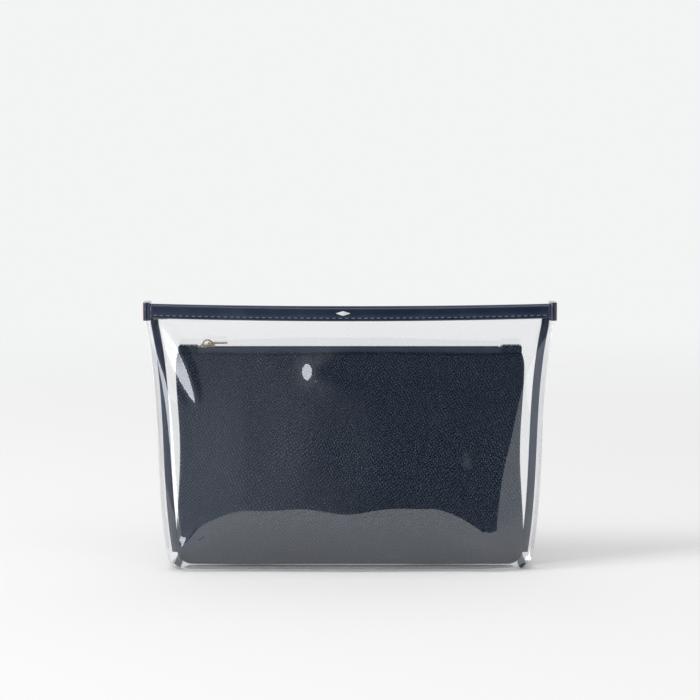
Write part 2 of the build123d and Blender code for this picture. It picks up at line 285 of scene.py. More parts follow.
def apply_modifier(piece, kind, **settings):
    """Adds a modifier with its settings and applies it."""
    bpy.ops.object.select_all(action="DESELECT")
    piece.select_set(True)
    bpy.context.view_layer.objects.active = piece
    added = piece.modifiers.new(kind.lower(), kind)
    for name, value in settings.items():
        setattr(added, name, value)
    bpy.ops.object.modifier_apply(modifier=added.name)


def smooth(piece, degrees=40):
    """Smooth shading, with edges sharper than the angle kept."""
    bpy.ops.object.select_all(action="DESELECT")
    piece.select_set(True)
    bpy.context.view_layer.objects.active = piece
    bpy.ops.object.shade_smooth_by_angle(angle=math.radians(degrees))


def add_noise(tree, vector, scale, detail):
    """Smooth noise over a vector."""
    inputs = {"Vector": vector, "Scale": scale, "Detail": detail}
    return add_node(tree, "ShaderNodeTexNoise", inputs).outputs["Fac"]


def add_bump(tree, height, strength, distance):
    """The normal of a surface with that relief."""
    inputs = {"Strength": strength, "Distance": distance, "Height": height}
    return add_node(tree, "ShaderNodeBump", inputs).outputs[0]


def settle(piece, body, slot, material, *nodes):
    """The piece moves with its body, takes its finish and stands for its CAD nodes."""
    piece.data.materials.clear()
    piece.data.materials.append(material)
    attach(piece, body)
    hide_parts(*nodes)


def facet(x, z):
    """A flat facet in the film from its top to its tip, narrow at both, turned to face left."""
    run_x, run_z = facet_tip[0] - facet_top[0], facet_tip[1] - facet_top[1]
    run = np.hypot(run_x, run_z)
    along = ((x - facet_top[0]) * run_x + (z - facet_top[1]) * run_z) / run**2
    aside = ((z - facet_top[1]) * run_x - (x - facet_top[0]) * run_z) / run
    wide = facet_half_width * np.sin(np.pi * np.clip(along, 0.02, 0.98) ** 0.9) ** 0.7
    beyond = np.clip((np.abs(aside) - wide) / facet_fade, 0, 1)
    ramp = np.clip(aside / wide, -1, 1) * wide * facet_slope
    return ramp * (1 - beyond**2) ** 2 * (np.abs(along - 0.5) < 0.5)


def dent(x, z):
    """A dent in the film, steep on its left and shallow on its right, where it also spreads."""
    across = (x - dent_x) / np.where(x < dent_x, dent_left, dent_right)
    up = (z - dent_z) / (dent_height + dent_spread * np.clip(x - dent_x, 0, None))
    return dent_depth * np.exp(-(across**2) - up**2)


def crease(x, z):
    """A short soft crease that climbs from a point near the lower left corner."""
    aside = crease_course[1] * (x - crease_x) - crease_course[0] * (z - crease_z)
    along = crease_course[0] * (x - crease_x) + crease_course[1] * (z - crease_z)
    past = (along - crease_half_length) / crease_half_length
    return crease_depth * np.exp(-((aside / crease_half_width) ** 2) - past**2)


def film_waves(x, z, side):
    """The slow hollows of both faces, stilled at their edges, and the front's facet, dent and crease."""
    swell = 0.16 * np.sin(x / 13 + side) * np.sin(z / 19 + 0.6)
    swell += 0.1 * np.sin(x / 7.1 + 1.9 * side) * np.cos(z / 23)
    swell += 0.12 * np.sin((x + 0.9 * z) / 17 + 2.2)
    still = np.clip(z / 14, 0, 1) * np.clip((sheet_top - z) / 20, 0, 1)
    front = facet(x, z) + dent(x, z) + crease(x, z)
    return swell * still + front * (side > 0)


half_rows = wall_rows + foot_rows + base_rows
clear_body = new_grid("clear_sheet_body", 2 * (flat_columns + lip_columns), 2 * half_rows)
points = read_points(clear_body)
u, v = points[:, 0], points[:, 1]
rows = np.abs(v) * half_rows
on_base = np.clip(rows / base_rows, 0, 1)
folding = np.clip((rows - base_rows) / foot_rows, 0, 1) * np.pi / 2
climb = np.clip((rows - base_rows - foot_rows) / wall_rows, 0, 1)
level = foot_radius * (1 - np.cos(folding)) + climb * (sheet_top - foot_radius)
drawn_in = foot_radius * (1 - np.sin(folding))
pinch = pinch_start + seam_inset * np.clip(level / pinch_level, 0, 1) ** 2
width = at_level(body_widths, level) - drawn_in
fall = np.clip((np.abs(u) - 0.5) / 0.4, 0, 1) ** 1.3
rise = middle_rise + (corner_rise - middle_rise) * fall
upper = (body_levels[-1] - upright_level) / (body_levels[-1] - rise)
depth_level = np.where(level < rise, level * upright_level / rise, upright_level + (level - rise) * upper)
end_depth = at_level(body_end_depths, depth_level) - drawn_in
mid_depth = at_level(body_mid_depths, depth_level) - drawn_in
x, y = half_outline(u, width, end_depth, mid_depth, pinch)
on_flat = np.clip((1 - np.abs(u)) * 5, 0, 1)
y -= film_waves(x, level, np.sign(v)) * on_flat * (rows > base_rows)
y *= on_base * np.sign(v)
z = level + mouth_droop(x) * np.clip(level / sheet_top, 0, 1) ** 8
place_points(clear_body, x, y, z)
close_up(clear_body)
apply_modifier(clear_body, "SOLIDIFY", thickness=sheet * mm, offset=-1, use_quality_normals=True)
smooth(clear_body, 60)

material, tree, output = new_material("clear_vinyl_film")
edge_on = add_node(tree, "ShaderNodeLayerWeight", {"Blend": 0.35}).outputs["Facing"]
steep = add_math(tree, "POWER", edge_on, 6)
tint = add_mix(tree, steep, (0.997, 0.998, 1, 1), (0.7, 0.715, 0.735, 1))
ripple = add_noise(tree, object_place(tree), 28, 1)
relief = add_bump(tree, ripple, 0.05, 0.0008)
mirrored = add_node(tree, "ShaderNodeFresnel", {"IOR": 1.58}).outputs[0]
outside = add_math(tree, "SUBTRACT", 1, add_node(tree, "ShaderNodeNewGeometry").outputs["Backfacing"])
both_faces = add_math(tree, "MULTIPLY", mirrored, add_math(tree, "SUBTRACT", 2, mirrored))
share = add_math(tree, "MULTIPLY", both_faces, outside)
through = add_node(tree, "ShaderNodeBsdfTransparent", {"Color": tint})
gloss = add_node(tree, "ShaderNodeBsdfGlossy", {"Color": (1, 1, 1, 1), "Roughness": 0.02, "Normal": relief})
film = add_node(tree, "ShaderNodeMixShader", {0: share, 1: through.outputs[0], 2: gloss.outputs[0]})
tree.links.new(film.outputs[0], output.inputs["Surface"])
settle(clear_body, "bag", "clear_vinyl", material, "clear_body")

# Side and corner seam bindings.
# Each seam allowance stands inside the bag in a folded strip of navy woven tape, sewn through. The side
# strips run from under the mouth to just over the foot, and a short one crosses each boxed corner.
binding_width = 4.5
binding_thickness = 1.8
binding_reach = 5.2
strip_steps = 34
strip_tuck = 2
corner_press = 0.6
side_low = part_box("right_seam_binding")[0].z / mm
side_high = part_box("right_seam_binding")[1].z / mm + strip_tuck
corner_low, corner_high = (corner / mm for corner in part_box("right_corner_binding"))


def weave_group():
    """A plain weave of threads, by its count across; gives its relief and painted shade, light on the raised
    threads and dark in the hollows.
    """
    group = bpy.data.node_groups.new("tape_weave", "ShaderNodeTree")
    group.interface.new_socket("Threads", in_out="INPUT", socket_type="NodeSocketFloat")
    group.interface.new_socket("Relief", in_out="OUTPUT", socket_type="NodeSocketFloat")
    group.interface.new_socket("Light", in_out="OUTPUT", socket_type="NodeSocketFloat")
    count = add_node(group, "NodeGroupInput").outputs["Threads"]
    place = object_place(group)
    parts = add_node(group, "ShaderNodeSeparateXYZ", {0: place}).outputs
    rise = add_math(group, "ADD", parts["Y"], parts["Z"])
    along = add_math(group, "SINE", add_math(group, "MULTIPLY", parts["X"], count))
    over = add_math(group, "SINE", add_math(group, "MULTIPLY", rise, count))
    knit = add_math(group, "MULTIPLY", along, over)
    fuzz = add_noise(group, place, 900, 3)
    even = add_node(group, "ShaderNodeMath", {0: knit, 1: 0.5, 2: 0.5}, operation="MULTIPLY_ADD").outputs[0]
    relief = add_math(group, "ADD", even, fuzz)
    # The relief's raised threads read light and its hollows dark: this is painted shade, not a thread
    # colour.
    light = add_ramp(group, relief, 0.3, 1.1)
    add_node(group, "NodeGroupOutput", {"Relief": relief, "Light": light})
    return group


def add_principled(tree, output, inputs):
    """Gives the material a Principled surface with these inputs."""
    shader = add_node(tree, "ShaderNodeBsdfPrincipled", inputs)
    tree.links.new(shader.outputs[0], output.inputs["Surface"])


def woven(name, dark, light, threads, roughness, sheen):
    """A woven cloth material whose two close colours are painted shade: the lighter on raised threads, the
    darker in the hollows.
    """
    material, tree, output = new_material(name)
    knit = add_node(tree, "ShaderNodeGroup", {"Threads": threads}, node_tree=weave).outputs
    # Painted shade: the colour goes from dark in the weave's hollows to light on its raised threads.
    colour = add_mix(tree, knit["Light"], dark, light)
    bump = add_bump(tree, knit["Relief"], 0.5, 0.0001)
    inputs = {"Base Color": colour, "Roughness": roughness, "Sheen Weight": sheen, "Normal": bump}
    add_principled(tree, output, inputs)
    return material


def round_edges(piece, width, segments, degrees):
    """Bevels the edges sharper than the angle, by a width in millimetres."""
    sharp = {"limit_method": "ANGLE", "angle_limit": math.radians(degrees)}
    apply_modifier(piece, "BEVEL", width=width * mm, segments=segments, **sharp)


def strip_along(name, places):
    """A flat strip with rounded edges, its section drawn once and extruded from place to place."""
    centre = places[0] * mm
    bpy.ops.object.select_all(action="DESELECT")
    bpy.ops.mesh.primitive_circle_add(vertices=16, radius=0.5 * mm, fill_type="NGON", location=centre)
    piece = bpy.context.object
    piece.name = name
    bpy.ops.object.transform_apply(location=True, rotation=True, scale=True)
    edit(piece)
    bpy.ops.mesh.select_all(action="SELECT")
    bpy.ops.transform.resize(value=(binding_width, binding_thickness, 1), center_override=centre)
    for here, there in zip(places, places[1:]):
        bpy.ops.mesh.extrude_region_move(TRANSFORM_OT_translate={"value": (there - here) * mm})
    bpy.ops.object.mode_set(mode="OBJECT")
    close_up(piece)
    smooth(piece, 50)
    return piece


weave = weave_group()
# The two navies are the tape's painted shade, dark in the weave's hollows and light on its threads.
navy_tape = woven("navy_binding_tape", (0.006, 0.012, 0.03, 1), (0.018, 0.03, 0.066, 1), 9000, 0.7, 0.1)
for side, name in ((-1, "left_seam_tape"), (1, "right_seam_tape")):
    levels = np.linspace(side_low, side_high, strip_steps)
    places = [Vector((side * (at_level(body_widths, z) - binding_reach), 0, z)) for z in levels]
    binding = strip_along(name, places)
    settle(binding, "bag", "navy_tape", navy_tape, name.replace("tape", "binding"))
    middle = Vector((side * (corner_low.x + corner_high.x) / 2, 0, (corner_low.z + corner_high.z) / 2)) * mm
    corner_length = (corner_high.y - corner_low.y) * mm
    name = name.replace("seam", "corner")
    bpy.ops.object.select_all(action="DESELECT")
    bpy.ops.mesh.primitive_cylinder_add(vertices=16, radius=0.5 * mm, depth=corner_length,
                                        location=middle, rotation=(math.pi / 2, 0, 0))
    binding = bpy.context.object
    binding.name = name
    bpy.ops.object.transform_apply(location=True, rotation=True, scale=True)
    edit(binding)
    bpy.ops.mesh.select_all(action="SELECT")
    corner_size = (binding_width, 1, binding_thickness - corner_press)
    bpy.ops.transform.resize(value=corner_size, center_override=middle)
    bpy.ops.transform.rotate(value=side * math.radians(45), orient_axis="Y", center_override=middle)
    bpy.ops.object.mode_set(mode="OBJECT")
    round_edges(binding, 0.25, 2, 50)
    smooth(binding, 50)
    settle(binding, "bag", "navy_tape", navy_tape, name.replace("tape", "binding"))

# Mouth zip tapes.
# Woven tape, caught with the film's edge in the mouth binding; it drops inside the film and turns in
# level to carry its half of the coil.
zip_level = (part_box("front_mouth_coil")[0].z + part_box("front_mouth_coil")[1].z) / 2 / mm
chain_half = -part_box("front_mouth_coil")[0].y / mm
tape_thickness = 0.4
tape_gap = 0.75
tape_columns = 90
tape_rows = 18
tape_drop = 0.2
mouth_flat = 116.3


def lip_depth(x):
    """How far the film's outer face stands from the middle of the mouth, at x."""
    bow = (1 - np.clip(np.abs(x) / mouth_flat, 0, 1) ** 2) ** 2
    return body_end_depths[-1] + (body_mid_depths[-1] - body_end_depths[-1]) * bow


def front_and_back(name):
    """The name and side of the front piece, then of the back one."""
    return (("front_" + name, -1), ("back_" + name, 1))


for name, side in front_and_back("mouth_tape"):
    tape = new_grid(name, tape_columns, tape_rows)
    points = read_points(tape)
    x = points[:, 0] * mouth_half
    run = (points[:, 1] + 1) / 2
    top = sheet_top + mouth_droop(x) - tape_drop
    leaf_y = lip_depth(x) - tape_gap
    leaf = top - zip_level
    deck = leaf_y - chain_half
    walked = run * (leaf + deck)
    y = np.where(walked < deck, chain_half + walked, leaf_y)
    z = np.where(walked < deck, zip_level, zip_level + walked - deck)
    place_points(tape, x, side * y, z)
    close_up(tape)
    apply_modifier(tape, "SOLIDIFY", thickness=tape_thickness * mm, offset=0, use_even_offset=True)
    smooth(tape, 40)
    settle(tape, "bag", "navy_tape", navy_tape, name.replace("_tape", "_zip_tape"))

# Coil zip halves.
# A nylon filament wound into flat loops and sewn to each tape's edge. The heads of the two rows mesh
# on the zip's centre line, half a turn apart.
coil_pitch = 1.3
coil_wire = 0.3
coil_overlap = 0.12
coil_lean = 9
coil_half_height = (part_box("front_mouth_coil")[1].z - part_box("front_mouth_coil")[0].z) / 2 / mm

material, tree, output = new_material("navy_nylon_coil")
tone = add_noise(tree, object_place(tree), 220, 2)
colour = add_mix(tree, tone, (0.011, 0.016, 0.03, 1), (0.026, 0.036, 0.062, 1))
rough = add_ramp(tree, tone, 0.2, 0.8, 0.45, 0.6)
add_principled(tree, output, {"Base Color": colour, "Roughness": rough, "Specular IOR Level": 0.3})
navy_coil = material


def repeat_along(piece, count, pitch):
    """Repeats the piece along X, at a pitch in millimetres."""
    apply_modifier(piece, "ARRAY", count=count, use_relative_offset=False, use_constant_offset=True,
                   constant_offset_displace=(pitch * mm, 0, 0))


def zip_half(name, side, half_length, level):
    """One row of loops, modelled as one loop and repeated along X."""
    count = int(2 * half_length / coil_pitch) - 1
    reach = (chain_half + coil_overlap) / 2
    first = -coil_pitch * (count - 1) / 2 + side * coil_pitch / 4
    start = Vector((first, side * (chain_half - reach), level)) * mm
    bpy.ops.object.select_all(action="DESELECT")
    bpy.ops.mesh.primitive_torus_add(location=start, rotation=(0, math.pi / 2, 0), major_segments=12,
                                     minor_segments=5, major_radius=1 * mm, minor_radius=coil_wire * mm)
    piece = bpy.context.object
    piece.name = name
    bpy.ops.object.transform_apply(location=True, rotation=True, scale=True)
    edit(piece)
    bpy.ops.mesh.select_all(action="SELECT")
    ring = 1 + coil_wire
    bpy.ops.transform.resize(value=(1, reach / ring, coil_half_height / ring), center_override=start)
    bpy.ops.transform.rotate(value=side * math.radians(coil_lean), orient_axis="Z", center_override=start)
    bpy.ops.object.mode_set(mode="OBJECT")
    repeat_along(piece, count, coil_pitch)
    close_up(piece)
    smooth(piece, 60)
    return piece


mouth_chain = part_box("front_mouth_coil")[1].x / mm
for name, side in front_and_back("mouth_coil_half"):
    coil = zip_half(name, side, mouth_chain, zip_level)
    settle(coil, "bag", "navy_coil", navy_coil, name.replace("_half", ""))

# Mouth bindings.
# A strip of glossy navy vinyl folded over the film and the zip tape along each side of the mouth. It
# swells softly above the stitch line, which pulls it in, and the whole mouth hangs a little in the middle.
band_low, band_high = (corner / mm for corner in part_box("front_mouth_binding"))
vinyl = 0.6
outer_stand = 0.3
inner_stand = 1.25
inner_leaf_low = 148.9
stitch_level = (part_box("front_mouth_stitches")[0].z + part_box("front_mouth_stitches")[1].z) / 2 / mm
band_swell = 0.09
hem_swell = 0.05
band_roll = 0.5
band_columns = 150
band_rows = 56


def wear_group():
    """Handling marks, by the scale of their patches; gives a mask of the dull, handled places."""
    group = bpy.data.node_groups.new("handling_wear", "ShaderNodeTree")
    group.interface.new_socket("Scale", in_out="INPUT", socket_type="NodeSocketFloat")
    group.interface.new_socket("Dullness", in_out="OUTPUT", socket_type="NodeSocketFloat")
    scale = add_node(group, "NodeGroupInput").outputs["Scale"]
    dull = add_ramp(group, add_noise(group, object_place(group), scale, 3), 0.35, 0.75)
    add_node(group, "NodeGroupOutput", {"Dullness": dull})
    return group


def add_wear(tree, scale):
    """The mask of dull places in a material, at that scale."""
    return add_node(tree, "ShaderNodeGroup", {"Scale": scale}, node_tree=wear).outputs["Dullness"]


wear = wear_group()
material, tree, output = new_material("navy_gloss_vinyl")
dull = add_wear(tree, 60)
colour = add_mix(tree, dull, (0.012, 0.0205, 0.045, 1), (0.018, 0.028, 0.059, 1))
rough = add_ramp(tree, dull, 0, 1, 0.14, 0.24)
bump = add_bump(tree, add_noise(tree, object_place(tree), 420, 2), 0.12, 0.0002)
inputs = {"Base Color": colour, "Roughness": rough, "Coat Weight": 0.5, "Coat Roughness": 0.06,
          "Normal": bump}
add_principled(tree, output, inputs)
navy_vinyl = material


def band_bulge(level):
    """How far the outer leaf swells at a level; the stitches pull it in and it rolls back to its crest."""
    above = np.clip((level - stitch_level) / (band_high.z - stitch_level), 0, 1)
    below = np.clip((stitch_level - level) / (stitch_level - band_low.z), 0, 1)
    rolled = band_roll * np.clip((above - 0.4) / 0.6, 0, 1) ** 2
    return band_swell * np.sin(np.pi * above) + hem_swell * np.sin(np.pi * below) - rolled


for name, side in front_and_back("mouth_band"):
    band = new_grid(name, band_columns, band_rows)
    points = read_points(band)
    x = points[:, 0] * mouth_half
    walk = (points[:, 1] + 1) / 2
    fold = (outer_stand + inner_stand) / 2
    crest = band_high.z - vinyl / 2 - fold
    outer_leaf = crest - band_low.z
    inner_leaf = crest - inner_leaf_low
    whole = outer_leaf + math.pi * fold + inner_leaf
    gone = walk * whole
    turn = np.clip((gone - outer_leaf) / fold, 0, math.pi)
    after = np.clip(gone - outer_leaf - math.pi * fold, 0, None)
    level = np.where(gone < outer_leaf, band_low.z + gone, crest + fold * np.sin(turn) - after)
    out = lip_depth(x) + outer_stand - fold * (1 - np.cos(turn))
    crest_roll = band_bulge(crest) * (1 + np.cos(turn)) / 2
    out += np.where(gone < outer_leaf, band_bulge(level), crest_roll)
    place_points(band, x, side * out, level + mouth_droop(x))
    close_up(band)
    apply_modifier(band, "SOLIDIFY", thickness=vinyl * mm, offset=0, use_even_offset=True)
    round_edges(band, 0.12, 2, 60)
    smooth(band, 40)
    settle(band, "bag", "navy_vinyl", navy_vinyl, name.replace("band", "binding"))

# Mouth stitches.
# A row of lockstitches in pale blue-grey twisted thread, each one lying proud of the vinyl and diving
# into its hole at both ends.
stitch_pitch = 3.7
stitch_length = 2.1
stitch_thickness = 0.36
stitch_stand = 0.06
stitch_middle = 0.6
stitch_tapers = ((0.13, 0.86), (0.07, 0.55))


def thread_material(name, dark, light):
    """Twisted sewing thread, its raised plies painted lighter and the grooves of the twist darker, as
    painted shade.
    """
    material, tree, output = new_material(name)
    turn = {"Vector": object_place(tree), "Rotation": (0, 0.6, 0)}
    twist = {"Vector": add_node(tree, "ShaderNodeMapping", turn).outputs[0], "Scale": 900, "Distortion": 1.5}
    ply = add_node(tree, "ShaderNodeTexWave", twist).outputs["Fac"]
    # Painted shade: the wave that makes the twist's relief also darkens its grooves and lightens its plies.
    colour = add_mix(tree, ply, dark, light)
    bump = add_bump(tree, ply, 0.4, 0.0001)
    inputs = {"Base Color": colour, "Roughness": 0.6, "Sheen Weight": 0.2, "Normal": bump}
    add_principled(tree, output, inputs)
    return material


def pick_faces(piece, chosen):
    """Selects the faces whose normal passes the test, in edit mode."""
    mesh = bmesh.from_edit_mesh(piece.data)
    for face in mesh.faces:
        face.select_set(chosen(face.normal))
    bmesh.update_edit_mesh(piece.data)


def stitch_row(name, pitch, length, thickness, end):
    """One stitch along X, its ends drawn in, repeated to a centred row."""
    count = int(2 * end / pitch)
    start = Vector((-(count - 1) * pitch / 2, 0, 0)) * mm
    bpy.ops.object.select_all(action="DESELECT")
    middle_length = stitch_middle * length * mm
    bpy.ops.mesh.primitive_cylinder_add(vertices=8, radius=thickness / 2 * mm, depth=middle_length,
                                        location=start, rotation=(0, math.pi / 2, 0))
    piece = bpy.context.object
    piece.name = name
    bpy.ops.object.transform_apply(location=True, rotation=True, scale=True)
    edit(piece)
    bpy.context.tool_settings.mesh_select_mode = (False, False, True)
    for end_side in (-1, 1):
        for share, size in stitch_tapers:
            bpy.ops.mesh.select_all(action="DESELECT")
            pick_faces(piece, lambda normal: normal.x * end_side > 0.9)
            push = Vector((end_side * share * length * mm, 0, 0))
            bpy.ops.mesh.extrude_region_move(TRANSFORM_OT_translate={"value": push})
            bpy.ops.transform.resize(value=(1, size, size))
    bpy.ops.object.mode_set(mode="OBJECT")
    repeat_along(piece, count, pitch)
    return piece


# The two blue-greys are the thread's painted shade: the darker in the twist's grooves, the lighter on its
# plies.
pale_thread = thread_material("pale_blue_thread", (0.1, 0.14, 0.2, 1), (0.22, 0.29, 0.4, 1))
tab_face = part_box("right_mouth_end_tab")[0].x / mm
for name, side in front_and_back("mouth_stitch_row"):
    row = stitch_row(name, stitch_pitch, stitch_length, stitch_thickness, tab_face)
    points = read_points(row) / mm
    x = points[:, 0]
    stand = lip_depth(x) + outer_stand + vinyl / 2 + stitch_stand
    place_points(row, x, side * stand + points[:, 1], stitch_level + mouth_droop(x) + points[:, 2])
    smooth(row, 60)
    settle(row, "bag", "pale_thread", pale_thread, name.replace("stitch_row", "stitches"))

# Mark on the front band.
# A small plain lozenge, printed in white on the vinyl a little left of the middle.
mark_low, mark_high = (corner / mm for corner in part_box("band_mark"))
mark_middle = (mark_low + mark_high) / 2
mark_thickness = 0.12
mark_corner = 0.35
bpy.ops.object.select_all(action="DESELECT")
stand = lip_depth(mark_middle.x) + outer_stand + vinyl / 2 + band_bulge(mark_middle.z)
centre = Vector((mark_middle.x, -stand, mark_middle.z + mouth_droop(mark_middle.x))) * mm
bpy.ops.mesh.primitive_circle_add(vertices=4, radius=0.5 * mm, fill_type="NGON", location=centre,
                                  rotation=(math.pi / 2, 0, 0))
mark = bpy.context.object
mark.name = "band_lozenge"
bpy.ops.object.transform_apply(location=True, rotation=True, scale=True)
edit(mark)
bpy.ops.mesh.select_all(action="SELECT")
stretch = (mark_high.x - mark_low.x, 1, mark_high.z - mark_low.z)
bpy.ops.transform.resize(value=stretch, center_override=centre)
bpy.ops.mesh.bevel(offset=mark_corner * mm, segments=3, affect="VERTICES")
bpy.ops.mesh.extrude_region_move(TRANSFORM_OT_translate={"value": (0, -mark_thickness * mm, 0)})
bpy.ops.mesh.select_all(action="SELECT")
bpy.ops.mesh.subdivide(number_cuts=2)
bpy.ops.object.mode_set(mode="OBJECT")
close_up(mark)
smooth(mark, 30)
material, tree, output = new_material("pale_print_ink")
colour = add_mix(tree, add_wear(tree, 300), (0.8, 0.82, 0.85, 1), (0.62, 0.65, 0.7, 1))
add_principled(tree, output, {"Base Color": colour, "Roughness": 0.45})
settle(mark, "bag", "pale_print", material, "band_mark")

# Mouth end tabs.
# A short piece of the same vinyl wraps each end of the mouth, over both bindings, glued and pressed.
# It stands a little over them, its edges are rolled, and the cut ones show the vinyl's tan backing.
tab_wall = 0.8
tab_roll = 0.7
tab_puff = 0.7
tab_flat = 3.5
backing_x = (0.1192, 0.1197)
backing_y = (0.005, 0.0056)
material, tree, output = new_material("navy_end_vinyl")
place = object_place(tree)
parts = add_node(tree, "ShaderNodeSeparateXYZ", {0: place}).outputs
at_end = add_ramp(tree, add_math(tree, "ABSOLUTE", parts["X"]), *backing_x)
at_edge = add_ramp(tree, add_math(tree, "ABSOLUTE", parts["Y"]), *backing_y)
raw = add_math(tree, "MULTIPLY", at_end, at_edge)
colour = add_mix(tree, raw, (0.011, 0.019, 0.045, 1), (0.3, 0.2, 0.12, 1))
rough = add_ramp(tree, add_wear(tree, 90), 0, 1, 0.12, 0.2)
bump = add_bump(tree, add_noise(tree, place, 260, 1), 0.35, 0.0009)
inputs = {"Base Color": colour, "Roughness": rough, "Coat Weight": 0.6, "Coat Roughness": 0.05,
          "Normal": bump}
add_principled(tree, output, inputs)
end_vinyl = material


def new_block(name, low, high):
    """A block between two corners."""
    bpy.ops.object.select_all(action="DESELECT")
    bpy.ops.mesh.primitive_cube_add(size=1, location=(low + high) / 2, scale=high - low)
    piece = bpy.context.object
    piece.name = name
    bpy.ops.object.transform_apply(location=True, rotation=True, scale=True)
    return piece


for side, name in ((-1, "left_end_wrap"), (1, "right_end_wrap")):
    node = name.replace("end_wrap", "mouth_end_tab")
    tab_low, tab_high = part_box(node)
    size = tab_high - tab_low
    tab = new_block(name, tab_low, tab_high)
    edit(tab)
    bpy.context.tool_settings.mesh_select_mode = (False, False, True)
    pick_faces(tab, lambda normal: normal.x * side < -0.9)
    bpy.ops.mesh.inset(thickness=tab_wall * mm)
    hollow = (side * (size.x - tab_wall * mm), 0, 0)
    bpy.ops.mesh.extrude_region_move(TRANSFORM_OT_translate={"value": hollow})
    bpy.ops.object.mode_set(mode="OBJECT")
    close_up(tab)
    round_edges(tab, tab_roll, 2, 40)
    apply_modifier(tab, "SUBSURF", levels=2, render_levels=2)
    points = read_points(tab) / mm
    x, y, z = points[:, 0], points[:, 1], points[:, 2]
    middle = (tab_low.x + tab_high.x) / 2 / mm
    bow = np.clip(1 - ((x - middle) / (size.x / 2 / mm)) ** 2, 0, 1)
    puff = tab_puff * bow * np.clip(np.abs(y) - tab_flat, 0, 1)
    place_points(tab, x, y + np.sign(y) * puff, z)
    smooth(tab, 60)
    settle(tab, "bag", "navy_vinyl", end_vinyl, node)

# Zip metal.
# The stops, sliders and pulls are cast and stamped brass with a pale antique plating, brighter where
# fingers rub it.
material, tree, output = new_material("antique_brass_plating")
dull = add_wear(tree, 380)
colour = add_mix(tree, dull, (0.66, 0.57, 0.42, 1), (0.4, 0.33, 0.22, 1))
rough = add_ramp(tree, dull, 0, 1, 0.2, 0.42)
bump = add_bump(tree, add_noise(tree, object_place(tree), 1500, 2), 0.15, 0.0001)
add_principled(tree, output, {"Base Color": colour, "Metallic": 1.0, "Roughness": rough, "Normal": bump})
for node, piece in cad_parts.items():
    if node.endswith(("_zip_stop", "_zip_slider", "_zip_pull")):
        piece.data.materials.clear()
        piece.data.materials.append(material)
        smooth(piece, 35)

# Pouch leather panels.
# Two panels of navy pebble-grain leather, sewn face to face and turned, so the sides and the foot are
# rolled seams. The pouch is puffed, its sides draw in between the corners, and the stitches along the
# top edge gather the leather into small folds.
leather_low, leather_high = (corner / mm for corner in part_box("front_pouch_leather"))
pouch_foot = leather_low.z
pouch_top = leather_high.z
pouch_height = pouch_top - pouch_foot
pouch_half = 101.7
leather = 1.2
belly_height = 41.0
belly_depth = 13.0
collar_depth = 5.5
collar_height = 2.6
seam_half = 0.7
side_draw = 2.2
draw_start = 15
draw_span = 105
corner_radius = 9.0
top_corner = 9
top_draw = 1.6
edge_stitch_drop = 1.15
edge_stitch_pitch = 2.3
panel_columns = 340
panel_rows = 92


def pouch_width_at(height):
    """Half the pouch's width at a height over its foot."""
    drawn = side_draw * np.sin(np.pi * np.clip((height - draw_start) / draw_span, 0, 1)) ** 2
    low = np.clip(1 - height / corner_radius, 0, 1)
    high = np.clip((height - pouch_height + top_corner) / top_corner, 0, 1)
    return pouch_half - drawn - corner_radius * (1 - np.sqrt(1 - low**2)) - top_draw * high**2


def pouch_depth_at(height):
    """How far the middle of a panel stands from the seams at a height over the foot."""
    under = np.clip(1 - height / belly_height, 0, 1)
    over = np.clip((height - belly_height) / (pouch_height - collar_height - belly_height), 0, 1)
    low = belly_depth * (1 - under**2.6) ** 0.55
    high = collar_depth + (belly_depth - collar_depth) * np.cos(np.pi / 2 * over) ** 1.2
    return seam_half + np.where(height < belly_height, low, high - seam_half * over)


def panel_folds(x, down):
    """Gathers under the stitch line, longer folds below them and the leather's slow unevenness."""
    gather = 0.22 * np.exp(-down / 3.5) * np.sin(2 * np.pi * x / edge_stitch_pitch)
    fold = np.sin(x / 2.1 + 2 * np.sin(x / 19)) + 0.8 * np.sin(x / 3.7 + 1.1) + 0.5 * np.sin(x / 1.3)
    slow = np.sin(x / 11 + 0.4) * np.cos(down / 16 + x / 40) + 0.7 * np.sin(x / 23 - down / 14 + 1)
    groove = 0.8 * np.exp(-(((down - edge_stitch_drop) / 0.75) ** 2))
    return gather + 0.13 * fold * np.exp(-down / 11) + 0.22 * slow * np.clip(down / 12, 0, 1) - groove


def pouch_skin(u, height, cut, folded):
    """X, Y and Z of the front of the pouch, drawn in all round by the cut."""
    half = pouch_width_at(height) - cut
    squareness = 5 + 19 * np.clip((height - 90) / 30, 0, 1) ** 2
    crown = np.clip(1 - np.abs(u) ** squareness, 0, 1) ** 0.5
    x = half * u
    down = pouch_height - height
    swell = panel_folds(x, down) if folded else 0
    ripple = 0.22 * np.sin(height / 2.9 + 3 * np.sin(height / 17)) * np.abs(u) ** 26 * folded
    y = np.maximum(pouch_depth_at(height) - cut, 0.05) * crown + (swell + ripple) * crown
    lift = 0.35 * np.sin(x / 21 + 0.8) * np.exp(-down / 18) * folded
    return x, -np.maximum(y, 0), pouch_foot + height + lift


def add_vector_math(tree, operation, inputs):
    """The vector that one sum gives."""
    return add_node(tree, "ShaderNodeVectorMath", inputs, operation=operation).outputs[0]


